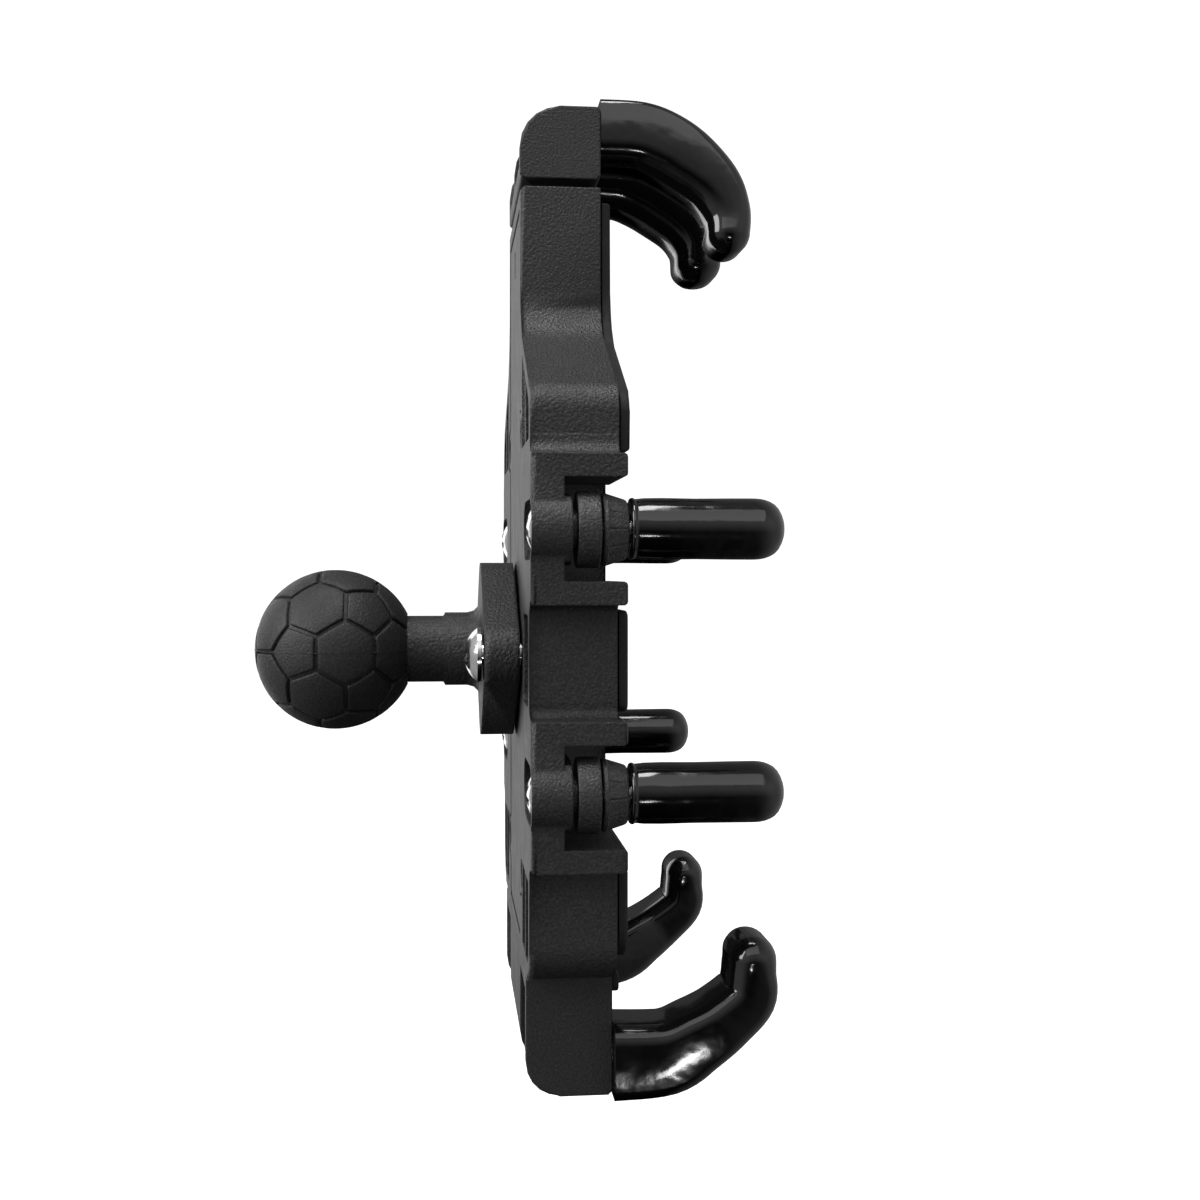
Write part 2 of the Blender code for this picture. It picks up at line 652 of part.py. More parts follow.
def core_line(jaw, side, depth):
    """The steel core's line: out of the block, then along the middle of the sleeve."""
    root = [(side * jaw["socket_x"], forward, jaw["root_z"], depth) for forward in (HOOK_ROOT, HOOK_START)]
    return root + [(side * hook_x(jaw, f), f, z, depth) for f, z, _ in jaw["line"][1:-1]]


def build_hook(jaw, label, side):
    """One hook: a steel core set in the jaw's block, and its dipped vinyl sleeve."""
    bm = bmesh.new()
    rings = ring_stack(bm, core_line(jaw, side, HOOK_CORE_HALF_DEPTH), HOOK_CORE_HALF_WIDTH, 0.8, 1.3, 2)
    skin_rings(bm, rings)
    bm.faces.new(rings[0])
    bm.faces.new(rings[-1])
    core = finish_mesh(bm, f"{jaw['name']}_hook_core_{label}", "steel")

    bm = bmesh.new()
    line = [(side * hook_x(jaw, f), f, z, d) for f, z, d in smooth_line(jaw["line"], 2)]
    outer = ring_stack(bm, line, jaw["hook_half_width"], 2.6, HOOK_TIP_R, 3)
    hollow = core_line(jaw, side, HOOK_CORE_HALF_DEPTH + GAP)[1:]
    inner = ring_stack(bm, hollow, HOOK_CORE_HALF_WIDTH + GAP, 1.0, 1.6, 3)
    skin_rings(bm, outer)
    skin_rings(bm, inner)
    skin_rings(bm, [outer[0], inner[0]])
    bm.faces.new(outer[-1])
    bm.faces.new(inner[-1])
    sleeve = finish_mesh(bm, f"{jaw['name']}_hook_sleeve_{label}", "vinyl")
    return [core, sleeve]


def build_jaw(jaw):
    """A jaw's block with its forked tongue, its spring's pin and its two hooks."""
    side, (low, high) = jaw["side"], jaw["block"]
    radius, small = jaw["corner_r"], 0.5
    top_r, bottom_r = (radius, small) if side > 0 else (small, radius)
    outline = rounded([(FRAME_BACK, low, bottom_r), (jaw["front"], low, small),
                       (jaw["front"], high, small), (FRAME_BACK, high, top_r)], 5)
    name = jaw["name"]
    block = bar(f"{name}_jaw", outline, -jaw["half_width"], jaw["half_width"], "plastic", 0.5)
    inside = (low if side > 0 else high) + 2.0 * side
    rails = sorted((jaw["tongue_end"], inside))
    for label, sign in (("right", 1), ("left", -1)):
        x0, x1 = sorted((TONGUE_RAIL_INNER * sign, TONGUE_HALF_WIDTH * sign))
        rail = plate(f"add_{name}_rail_{label}", box_outline(x0, x1, *rails), TONGUE_BACK, TONGUE_FRONT)
        boolean(block, rail, "UNION")
    reach = TONGUE_RAIL_INNER + 1.0
    bridge = box_outline(-reach, reach, *jaw["bridge"])
    boolean(block, plate(f"add_{name}_bridge", bridge, TONGUE_BACK, TONGUE_FRONT), "UNION")
    pin_z = sum(jaw["bridge"]) / 2
    hole = arc((0, pin_z), PIN_R + GAP, 0, 330, 11)
    boolean(block, plate(f"cut_{name}_pin_hole", hole, TONGUE_BACK - 2, TONGUE_FRONT + 2))
    pin = turned(f"{name}_spring_pin", [(0, 31.8), (PIN_R, 31.8), (PIN_R, 37.8), (0, 37.8)], 0, pin_z, 12, "steel")
    pieces = [block, pin]
    for label, sign in (("right", 1), ("left", -1)):
        x0, x1 = (x * sign for x in jaw["hollow_x"])
        hollow = box_outline(min(x0, x1), max(x0, x1), *jaw["hollow_z"])
        boolean(block, plate(f"cut_{name}_hollow_{label}", hollow, FRAME_BACK - 2, BLOCK_HOLLOW_FRONT))
        x = jaw["socket_x"] * sign
        wide, deep = HOOK_CORE_HALF_WIDTH + GAP, HOOK_CORE_HALF_DEPTH + GAP
        socket = box_outline(x - wide, x + wide, jaw["root_z"] - deep, jaw["root_z"] + deep)
        boolean(block, plate(f"cut_{name}_socket_{label}", socket, HOOK_ROOT - GAP, jaw["front"] + 3))
        pieces += build_hook(jaw, label, sign)
    if side < 0:
        width = jaw["half_width"] - 2.0
        strip = box_outline(-width, width, high - 3.2, high - 0.4, 0.8, 2)
        pieces.append(plate("lower_jaw_pad", strip, jaw["front"] + GAP, PAD_FRONT - 0.2, "rubber", 0.3))
    ride_on(f"{name}_jaw_axis", point(0, TONGUE_MIDDLE, 0), pieces)


def build_spring(jaw):
    """The extension spring between the frame's pin and the jaw's pin."""
    low, high = jaw["spring"]
    turns = (high - low) / SPRING_PITCH
    per_turn, around = 8, 4
    rings = []
    bm = bmesh.new()
    total = int(turns * per_turn)
    for i in range(total + 1):
        angle = 2 * pi * i / per_turn
        z = low + SPRING_WIRE_R + (high - low - 2 * SPRING_WIRE_R) * i / total
        ring = []
        for k in range(around):
            lean = 2 * pi * k / around
            reach = SPRING_R + SPRING_WIRE_R * cos(lean)
            ring.append(bm.verts.new(point(reach * cos(angle), TONGUE_MIDDLE + reach * sin(angle),
                                           z + SPRING_WIRE_R * sin(lean))))
        rings.append(ring)
    skin_rings(bm, rings)
    bm.faces.new(rings[0])
    bm.faces.new(rings[-1])
    finish_mesh(bm, f"{jaw['name']}_spring", "steel")


def build_post(name, side, level):
    """A side post: screw, collar, clamp nut and dipped cap, all on one line."""
    x, z = POST_X * side, POST_Z * level
    head = screw(f"post_{name}_screw", x, z, POST_HEAD_R, POST_HEAD_BACK, POST_HEAD_FRONT,
                 POST_STUD_R, POST_STUD_FRONT)
    bore = THREAD_CLEARANCE_R
    collar = turned(f"post_{name}_collar", [(bore, COLLAR_BACK), (COLLAR_R, COLLAR_BACK),
                    (COLLAR_R, COLLAR_FRONT), (bore, COLLAR_FRONT)], x, z, 16, "plastic", True)
    nut = turned(f"post_{name}_clamp_nut", [(bore, NUT_BACK), (NUT_BACK_R, NUT_BACK),
                 (NUT_FRONT_R, NUT_FRONT), (bore, NUT_FRONT)], x, z, NUT_FACETS, "plastic", True)
    end = [(CAP_R * cos(radians(a)), CAP_FRONT - CAP_R + CAP_R * sin(radians(a))) for a in (0, 30, 60)]
    profile = [(CAP_BORE_R, CAP_BACK), (CAP_R, CAP_BACK)] + end
    profile += [(0, CAP_FRONT)]
    hollow = [(0, CAP_BORE_FRONT), (CAP_BORE_R, CAP_BORE_FRONT), (CAP_BORE_R, CAP_BACK)]
    cap = turned(f"post_{name}_cap", profile[::-1][:-1] + hollow[::-1], x, z, 14, "vinyl")
    ride_on(f"post_{name}_axis", point(x, COLLAR_BACK, z), [head, collar, nut, cap])


def ride_on(name, place, pieces):
    """Parent moving pieces to an empty on their joint's axis."""
    empty = bpy.data.objects.new(name, None)
    empty.location = place
    bpy.context.scene.collection.objects.link(empty)
    for piece in pieces:
        piece.parent = empty
        piece.matrix_parent_inverse = Matrix.Translation(-Vector(place))


def build():
    clear_scene()
    build_frame_body()
    build_rear_cover()
    build_pads()
    build_ball_base()
    build_ball_cover()
    build_base_fasteners()
    turned("spring_anchor_pin", [(0, 31.3), (PIN_R, 31.3), (PIN_R, 39.5), (0, 39.5)], 0, 0, 12, "steel")
    for jaw in (UPPER_JAW, LOWER_JAW):
        build_spring(jaw)
        build_jaw(jaw)
    for place in post_places():
        build_post(*place)


build()
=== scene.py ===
"""Looks for the phone cradle: moulded plastic, dipped vinyl, a grooved rubber ball, screws.

Sizes are in millimetres until a mesh is made. A point is written (x, forward, z), where
forward is the distance from the ball's centre towards the phone.
"""

from itertools import combinations
from math import atan2, cos, pi, radians, sin, sqrt, tan

import bmesh
import bpy
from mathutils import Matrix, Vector


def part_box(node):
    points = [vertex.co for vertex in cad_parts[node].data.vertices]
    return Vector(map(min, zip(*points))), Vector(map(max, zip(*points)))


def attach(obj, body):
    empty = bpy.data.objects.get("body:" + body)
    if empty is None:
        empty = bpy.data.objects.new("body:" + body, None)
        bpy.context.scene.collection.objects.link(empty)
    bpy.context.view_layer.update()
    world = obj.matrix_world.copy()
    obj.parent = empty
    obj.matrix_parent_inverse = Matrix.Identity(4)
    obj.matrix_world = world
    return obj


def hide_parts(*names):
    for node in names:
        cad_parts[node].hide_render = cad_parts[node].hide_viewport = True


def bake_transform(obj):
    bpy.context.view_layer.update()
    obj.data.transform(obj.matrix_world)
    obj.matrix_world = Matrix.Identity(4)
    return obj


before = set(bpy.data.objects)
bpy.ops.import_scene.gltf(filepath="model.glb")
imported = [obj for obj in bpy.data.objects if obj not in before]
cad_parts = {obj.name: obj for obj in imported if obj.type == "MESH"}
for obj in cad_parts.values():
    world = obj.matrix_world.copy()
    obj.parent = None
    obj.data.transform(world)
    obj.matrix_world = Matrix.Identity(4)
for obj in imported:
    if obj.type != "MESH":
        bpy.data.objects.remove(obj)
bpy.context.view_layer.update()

MM = 0.001
SIDES = ("left", "right")
LEVELS = ("upper", "lower")
POSTS = [f"{level}_{side}" for level in LEVELS for side in SIDES]

# The hooks' sleeves: "x" where the line starts and ends, "edges" the radii of the lower and the
# upper edges, "line" the points (forward, z, half depth, half width)
HOOKS = {
    "upper": {
        "x": (11.1, 11.1),
        "edges": (3.6, 1.5),
        "line": [
            (40.68, 78.7, 4.9, 6.1), (46.8, 78.5, 4.9, 6.1), (50.9, 77.1, 4.9, 6.0), (54.6, 74.8, 4.7, 5.9),
            (58.4, 71.4, 4.1, 5.7), (60.46, 67.6, 3.5, 5.6), (60.76, 64.3, 3.25, 5.8),
        ],
    },
    "lower": {
        "x": (28.5, 30.5),
        "edges": (1.7, 2.4),
        "line": [
            (40.88, -57.1, 5.3, 6.1), (48.4, -56.5, 5.0, 6.0), (53.0, -54.0, 4.4, 5.9),
            (57.0, -51.2, 3.9, 5.7), (60.16, -48.1, 3.6, 5.6), (60.56, -44.4, 3.3, 5.6),
            (60.66, -42.6, 3.3, 5.8),
        ],
    },
}
# Where the hooks stop spreading apart; the round end's length; the edge radius at the tip, which
# the last rings come to; and how the far upper hook differs
HOOK_SPREAD_END = 56.0
HOOK_TIP_R = 3.2
HOOK_TIP_EDGE = 2.9
HOOK_TIP_RINGS = 9
FAR_UPPER_HOOK = {"reach": 0.95, "fall": 0.97, "lower": 0.6, "thicker": 0.55}

# The caps' tips: (part of the radius, how far short of the end)
CAP_TIP = [(0.998, 4.0), (0.985, 3.3), (0.955, 2.65), (0.9, 2.0), (0.82, 1.4), (0.7, 0.9), (0.54, 0.5),
           (0.36, 0.2), (0.18, 0.05)]

# The ball
BALL_R = 12.65
BALL_CORE_R = 9.5
BALL_CORE_GAP = 0.3
NECK_R = 5.3
GROOVE_DEPTH = 0.5
GROOVE_HALF_WIDTH = 0.36

# Screws: back, front and end are the forward values of the head's top, the head's underside and
# the stud's point, and turn is the recess's lean in degrees
SCREWS = {
    "cover": {"head_r": 2.0, "back": 28.75, "front": 29.9, "shank_r": 1.0, "end": 36.0, "turn": 35},
    "post": {"head_r": 3.7, "back": 28.0, "front": 30.0, "shank_r": 1.6, "end": 57.5, "turn": 25},
    "base": {"head_r": 4.05, "back": 20.0, "front": 22.6, "shank_r": 1.9, "end": 40.1, "turn": 10},
}

# The cross recess, in parts of the head's radius
RECESS_REACH = 0.55
RECESS_HALF_WIDTH = 0.1545


def point(x, forward, z):
    """A point of the cradle, in metres in Blender's axes."""
    return Vector((x, -forward, z)) * MM


# ---------------------------------------------------------------- materials

def link(tree, source, target):
    tree.links.new(source, target)


def new_node(tree, kind, **values):
    """A shader node with its inputs set. An underscore stands for the space in an input's name."""
    made = tree.nodes.new(kind)
    for key, value in values.items():
        made.inputs[key.replace("_", " ")].default_value = value
    return made


def noise_node(tree, scale, detail):
    """Noise in the piece's own coordinates, scale in lumps to the metre."""
    place = tree.nodes.new("ShaderNodeTexCoord")
    made = new_node(tree, "ShaderNodeTexNoise", Scale=scale, Detail=detail, Roughness=0.5)
    link(tree, place.outputs["Object"], made.inputs["Vector"])
    return made


def colour_mix(tree, fac, low, high):
    mix = tree.nodes.new("ShaderNodeMix")
    mix.data_type = "RGBA"
    mix.inputs["A"].default_value = (*low, 1.0)
    mix.inputs["B"].default_value = (*high, 1.0)
    link(tree, fac, mix.inputs["Factor"])
    return mix.outputs["Result"]


def value_range(tree, fac, low, high, start=0.3, end=0.7):
    """Values from low to high, as fac goes from start to end."""
    spread = new_node(tree, "ShaderNodeMapRange", From_Min=start, From_Max=end, To_Min=low, To_Max=high)
    link(tree, fac, spread.inputs["Value"])
    return spread.outputs["Result"]


def bump(tree, height, distance, strength, below):
    """A bump on top of the normal below it, if there is one."""
    made = new_node(tree, "ShaderNodeBump", Strength=strength, Distance=distance)
    link(tree, height, made.inputs["Height"])
    if below is not None:
        link(tree, below, made.inputs["Normal"])
    return made.outputs["Normal"]


def painted_grain_glints(tree, colour, scale):
    """A colour with fine light specks, on the same noise as the grain's bumps: painted highlights where light
    would catch the grain's peaks.
    """
    glint_noise = noise_node(tree, scale, detail=1.0)
    glint_lift = value_range(tree, glint_noise.outputs["Fac"], low=0.82, high=1.5, start=0.42, end=0.68)
    scaled = tree.nodes.new("ShaderNodeVectorMath")
    scaled.operation = "SCALE"
    link(tree, colour, scaled.inputs[0])
    link(tree, glint_lift, scaled.inputs["Scale"])
    return scaled.outputs["Vector"]


def material(name, settings):
    """A Principled material: tone and roughness vary with noise, and bumps stack up."""
    made = bpy.data.materials.new(name)
    made.use_nodes = True
    tree = made.node_tree
    shader = tree.nodes["Principled BSDF"]
    patches = noise_node(tree, settings["patch_scale"], detail=3.0)
    colour = colour_mix(tree, patches.outputs["Fac"], *settings["colours"])
    # Light specks on the grain's bump peaks: painted highlights, standing for light catching the grain
    if "grain_glint_scale" in settings:
        colour = painted_grain_glints(tree, colour, settings["grain_glint_scale"])
    link(tree, colour, shader.inputs["Base Color"])
    smears = noise_node(tree, settings["patch_scale"] * 2.3, detail=4.0)
    link(tree, value_range(tree, smears.outputs["Fac"], *settings["roughness"]), shader.inputs["Roughness"])
    normal = None
    if "edge" in settings:
        soft = new_node(tree, "ShaderNodeBevel", Radius=settings["edge"] * MM)
        soft.samples = 6
        normal = soft.outputs["Normal"]
    for scale, detail, distance, strength in settings["bumps"]:
        lumps = noise_node(tree, scale, detail)
        normal = bump(tree, lumps.outputs["Fac"], distance * MM, strength, normal)
    link(tree, normal, shader.inputs["Normal"])
    for key, value in settings["fixed"].items():
        shader.inputs[key].default_value = value
    return made


def grey(value):
    """A grey that is very slightly blue."""
    return (value, value, value * 1.03)


# "edge" is the radius of softened edges, "bumps" are (scale, detail, height in mm, strength)
# The grain scale, where given, places light specks on the grain's peaks: painted highlights
LOOKS = {
    "frame_plastic": {
        "colours": (grey(0.017), grey(0.023)), "patch_scale": 90, "grain_glint_scale": 2700,
        "roughness": (0.38, 0.48), "edge": 0.35,
        "bumps": [(2700, 2.0, 0.2, 1.0), (1500, 1.0, 0.03, 0.4)],
        "fixed": {"Specular IOR Level": 0.4},
    },
    "cover_plastic": {
        "colours": (grey(0.020), grey(0.027)), "patch_scale": 80, "grain_glint_scale": 3000,
        "roughness": (0.42, 0.52), "edge": 0.35,
        "bumps": [(3000, 2.0, 0.16, 1.0)],
        "fixed": {"Specular IOR Level": 0.5},
    },
    "jaw_plastic": {
        "colours": (grey(0.015), grey(0.020)), "patch_scale": 100, "grain_glint_scale": 3000,
        "roughness": (0.40, 0.52), "edge": 0.35,
        "bumps": [(3000, 2.0, 0.16, 1.0), (900, 1.0, 0.02, 0.3)],
        "fixed": {"Specular IOR Level": 0.4},
    },
    "collar_plastic": {
        "colours": (grey(0.018), grey(0.028)), "patch_scale": 260, "grain_glint_scale": 2700,
        "roughness": (0.36, 0.5),
        "bumps": [(2700, 2.0, 0.2, 1.0)],
        "fixed": {"Specular IOR Level": 0.5},
    },
    "pad_rubber": {
        "colours": (grey(0.010), grey(0.016)), "patch_scale": 140,
        "roughness": (0.6, 0.75), "edge": 0.3,
        "bumps": [(3000, 3.0, 0.03, 0.6)],
        "fixed": {"Specular IOR Level": 0.35},
    },
    "ball_rubber": {
        "colours": (grey(0.013), grey(0.020)), "patch_scale": 160, "grain_glint_scale": 2900,
        "roughness": (0.5, 0.62),
        "bumps": [(2900, 2.0, 0.12, 0.9), (420, 2.0, 0.05, 0.25)],
        "fixed": {"Specular IOR Level": 0.42},
    },
    "base_casting": {
        "colours": (grey(0.013), grey(0.021)), "patch_scale": 300, "grain_glint_scale": 2200,
        "roughness": (0.42, 0.58), "edge": 0.7,
        "bumps": [(2200, 2.0, 0.26, 1.0), (700, 1.0, 0.10, 0.6)],
        "fixed": {"Specular IOR Level": 0.5},
    },
    "vinyl": {
        "colours": (grey(0.0025), grey(0.004)), "patch_scale": 120,
        "roughness": (0.09, 0.17),
        "bumps": [(900, 2.0, 0.03, 0.25), (190, 2.0, 0.32, 0.45), (70, 1.0, 0.8, 0.5)],
        "fixed": {"Specular IOR Level": 0.5, "Coat Weight": 0.5, "Coat Roughness": 0.06},
    },
    "bright_steel": {
        "colours": ((0.62, 0.62, 0.63), (0.78, 0.78, 0.79)), "patch_scale": 400,
        "roughness": (0.10, 0.24),
        "bumps": [(1100, 3.0, 0.02, 0.4)],
        "fixed": {"Metallic": 1.0},
    },
    "dull_steel": {
        "colours": ((0.36, 0.36, 0.37), (0.5, 0.5, 0.5)), "patch_scale": 300,
        "roughness": (0.28, 0.42),
        "bumps": [(1600, 3.0, 0.03, 0.5)],
        "fixed": {"Metallic": 1.0},
    },
}
MATERIALS = {slot: material(slot + "_look", settings) for slot, settings in LOOKS.items()}


# ---------------------------------------------------------------- mesh helpers

def finish_piece(bm, name, slot, body, replaced, sharp):
    """Turn a bmesh into a piece: faces out, smooth where round, riding on its body."""
    bmesh.ops.recalc_face_normals(bm, faces=bm.faces)
    mesh = bpy.data.meshes.new(name)
    bm.to_mesh(mesh)
    bm.free()
    mesh.materials.append(MATERIALS[slot])
    mesh.shade_smooth()
    mesh.set_sharp_from_angle(angle=radians(sharp))
    made = bpy.data.objects.new(name, mesh)
    bpy.context.scene.collection.objects.link(made)
    if body:
        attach(made, body)
    if replaced:
        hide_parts(*replaced)
    return made


def middle_of(node):
    """The x and z of a CAD node's middle."""
    low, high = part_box(node)
    centre = (low + high) / 2
    return centre.x / MM, centre.z / MM


def skin_rings(bm, rings, closed=False):
    """Join neighbouring rings of equal length, or a ring to a single tip vertex."""
    pairs = list(zip(rings, rings[1:])) + ([(rings[-1], rings[0])] if closed else [])
    for first, second in pairs:
        count = max(len(first), len(second))
        for k in range(count):
            corners = [first[k % len(first)], first[(k + 1) % len(first)],
                       second[(k + 1) % len(second)], second[k % len(second)]]
            corners = list(dict.fromkeys(corners))
            if len(corners) > 2:
                bm.faces.new(corners)


def turned_rings(bm, profile, x, z, sides, shape=None):
    """Rings of a profile of (radius, forward), turned about the fore-and-aft line through x, z."""
    rings = []
    for radius, forward in profile:
        if radius == 0:
            rings.append([bm.verts.new(point(x, forward, z))])
            continue
        ring = []
        for k in range(sides):
            angle = 2 * pi * k / sides
            reach = radius * (shape(angle, forward) if shape else 1.0)
            ring.append(bm.verts.new(point(x + reach * cos(angle), forward, z + reach * sin(angle))))
        rings.append(ring)
    return rings


def quarter(radius, forward, size, start, end, steps=4):
    """A rounded edge of a turned profile, about the centre at radius and forward, angles in degrees."""
    turn = [radians(start + (end - start) * i / steps) for i in range(steps + 1)]
    return [(radius + size * cos(a), forward + size * sin(a)) for a in turn]


def apply_modifiers(thing):
    """Bake the modifiers of a piece of this script's own into its mesh."""
    graph = bpy.context.evaluated_depsgraph_get()
    done = bpy.data.meshes.new_from_object(thing.evaluated_get(graph))
    thing.modifiers.clear()
    thing.data = done


def cut(target, bm, operation="DIFFERENCE"):
    """One boolean step on a piece of this script's own."""
    mesh = bpy.data.meshes.new("tool")
    bmesh.ops.recalc_face_normals(bm, faces=bm.faces)
    bm.to_mesh(mesh)
    bm.free()
    tool = bpy.data.objects.new("tool", mesh)
    bpy.context.scene.collection.objects.link(tool)
    step = target.modifiers.new("cut", "BOOLEAN")
    step.operation = operation
    step.solver = "EXACT"
    step.object = tool
    apply_modifiers(target)
    bpy.data.objects.remove(tool)


# ---------------------------------------------------------------- dipped hooks and caps

def smooth_line(points, steps):
    """A smooth curve through points of any number of values, steps to each span."""
    line = []
    for i in range(len(points) - 1):
        p0 = points[max(i - 1, 0)]
        p1, p2 = points[i], points[i + 1]
        p3 = points[min(i + 2, len(points) - 1)]
        for k in range(steps):
            t = k / steps
            line.append(tuple(
                0.5 * (2 * b + (c - a) * t + (2 * a - 5 * b + 4 * c - d) * t * t
                       + (3 * b - a - 3 * c + d) * t ** 3)
                for a, b, c, d in zip(p0, p1, p2, p3)))
    return line + [tuple(points[-1])]


def hook_line(level, side):
    """One hook's line. The far upper hook is a little shorter, lower and thicker than the near one."""
    line = smooth_line(HOOKS[level]["line"], steps=6)
    if (level, side) != ("upper", "right"):
        return line
    start, root_z = line[0][:2]
    far = FAR_UPPER_HOOK
    return [(start + (forward - start) * far["reach"], root_z - far["lower"] + (z - root_z) * far["fall"],
             depth + far["thicker"], width) for forward, z, depth, width in line]


def rounded_box(half_width, half_depth, low_r, high_r, steps=6):
    """A box with its lower and upper corners rounded differently, as points (u, v)."""
    outline = []
    for su, sv, start in ((-1, -1, 180), (1, -1, 270), (1, 1, 0), (-1, 1, 90)):
        r = min(low_r if sv < 0 else high_r, half_width - 0.05, half_depth - 0.05)
        for k in range(steps + 1):
            angle = radians(start + 90 * k / steps)
            outline.append((su * (half_width - r) + r * cos(angle), sv * (half_depth - r) + r * sin(angle)))
    return outline


def hook_sleeve(level, side):
    """A dipped vinyl sleeve: a rounded bar along the hook's line, with a round tip."""
    line = hook_line(level, side)
    start = line[0][0]
    root_x, tip_x = HOOKS[level]["x"]
    sign = -1 if side == "left" else 1
    bm = bmesh.new()
    rings = []
    for i, (forward, z, depth, width) in enumerate(line):
        before, after = line[max(i - 1, 0)], line[min(i + 1, len(line) - 1)]
        along = Vector((after[0] - before[0], after[1] - before[1])).normalized()
        if i == 0:
            along = Vector((1, 0))
        across = Vector((-along.y, along.x))
        spread = min((forward - start) / (HOOK_SPREAD_END - start), 1.0)
        x = sign * (root_x + (tip_x - root_x) * spread)
        near_tip = max(0.0, 1 - (len(line) - 1 - i) / HOOK_TIP_RINGS)
        low_r, high_r = [r + (HOOK_TIP_EDGE - r) * near_tip for r in HOOKS[level]["edges"]]
        rings.append([bm.verts.new(point(x + u, forward + across.x * v, z + across.y * v))
                      for u, v in rounded_box(width, depth, low_r, high_r)])
    forward, z, depth, width = line[-1]
    for degrees in range(10, 90, 10):
        inset = HOOK_TIP_R * (1 - cos(radians(degrees)))
        centre = Vector((forward, z)) + along * HOOK_TIP_R * sin(radians(degrees))
        outline = rounded_box(max(width - inset, 0.3), max(depth - inset, 0.3), HOOK_TIP_EDGE, HOOK_TIP_EDGE)
        rings.append([bm.verts.new(point(x + u, centre.x + across.x * v, centre.y + across.y * v))
                      for u, v in outline])
    skin_rings(bm, rings)
    bm.faces.new(rings[-1])
    bm.faces.new(rings[0])
    finish_piece(bm, f"{level}_hook_vinyl_{side}", "vinyl", f"{level}_jaw",
                 [f"{level}_hook_sleeve_{side}"], 50)


def post_cap(post, x, z):
    """A dipped cap: a bead at its open end, a long slightly uneven barrel and a round tip."""
    r, back, front = 4.2, 42.0, 63.4
    bore, bore_end, bead = 2.2, 47.0, 0.4
    raised, wobble = 0.15, 0.006

    def uneven(angle, forward):
        return 1 + wobble * (sin(2 * angle + forward * 0.5) - 1)

    profile = [(bore, bore_end), (bore, back + 0.15)]
    profile += quarter(r - 0.35, back + bead, bead, -90, 90, 5)[:-1]
    profile += [(r - 0.12, back + 1.0), (r - 0.02, back + 2.0), (r, back + 4.5), (r - 0.03, back + 9.0),
                (r + 0.02, back + 14.0), (r, front - 4.6)]
    profile += [(r * part, front - short) for part, short in CAP_TIP]
    profile += [(0, front)]
    bm = bmesh.new()
    rings = turned_rings(bm, profile, x, z + raised, 64, uneven)
    skin_rings(bm, rings)
    bm.faces.new(rings[0])
    finish_piece(bm, f"post_{post}_vinyl", "vinyl", f"post_{post}", [f"post_{post}_cap"], 50)


# ---------------------------------------------------------------- clamp nuts, collars, screws

def clamp_nut(post, x, z):
    """A conical hand nut with broad flats and a narrow groove between each pair."""
    flats, bore = 12, 2.0
    groove_part, groove_depth = 0.1, 0.045

    def fluted(angle, forward):
        turn = (angle / (2 * pi) * flats) % 1.0
        groove = max(0.0, 1 - min(turn, 1 - turn) / groove_part)
        flat = cos(pi / flats) / cos((turn - 0.5) * 2 * pi / flats)
        return flat * (1 - groove_depth * groove)

    bm = bmesh.new()
    plain = turned_rings(bm, [(bore, 38.2), (4.75, 38.2), (4.98, 38.4), (4.98, 38.75)], x, z, 144)
    ribbed = turned_rings(bm, [(4.95, 38.95), (4.55, 40.2), (4.2, 41.3)], x, z, 144, fluted)
    front = turned_rings(bm, [(3.95, 41.55), (3.7, 41.7), (bore, 41.7)], x, z, 144)
    skin_rings(bm, plain + ribbed + front, closed=True)
    finish_piece(bm, f"post_{post}_hand_nut", "collar_plastic", f"nut_{post}",
                 [f"post_{post}_clamp_nut"], 25)


def collar(post, x, z):
    """The plain collar that clamps on the ear's slot rail, with rounded rims and a hub behind."""
    bore, r, back, front, edge = 2.0, 5.2, 34.75, 37.9, 0.25
    hub_r, hub_back = 2.9, back - 0.5
    profile = [(bore, hub_back), (hub_r, hub_back), (hub_r, back), (r - edge, back)]
    profile += quarter(r - edge, back + edge, edge, -90, 0)
    profile += quarter(r - edge, front - edge, edge, 0, 90) + [(bore, front)]
    bm = bmesh.new()
    skin_rings(bm, turned_rings(bm, profile, x, z, 96), closed=True)
    finish_piece(bm, f"post_{post}_rim", "collar_plastic", f"post_{post}", [f"post_{post}_collar"], 30)


def dome_profile(radius, height, tip, steps=10):
    """A dome's profile from its tip on the axis to its rim."""
    sphere_r = (radius ** 2 + height ** 2) / (2 * height)
    half = atan2(radius, sphere_r - height)
    return [(0, tip)] + [(sphere_r * sin(half * k / steps), tip + sphere_r * (1 - cos(half * k / steps)))
                         for k in range(1, steps + 1)]


def recess_tool(x, z, lean, reach, half, top, bottom):
    """A tapered bar across a screw's head, one arm pair of its cross recess."""
    along = Vector((cos(lean), sin(lean)))
    side = Vector((-sin(lean), cos(lean)))
    bm = bmesh.new()
    ends = []
    for forward, taper in ((top, 1.25), (bottom, 0.55)):
        ends.append([bm.verts.new(point(x + (along.x * a * reach + side.x * b * half) * taper, forward,
                                        z + (along.y * a * reach + side.y * b * half) * taper))
                     for a, b in ((-1, -1), (1, -1), (1, 1), (-1, 1))])
    skin_rings(bm, ends)
    bm.faces.new(ends[0])
    bm.faces.new(ends[1])
    return bm


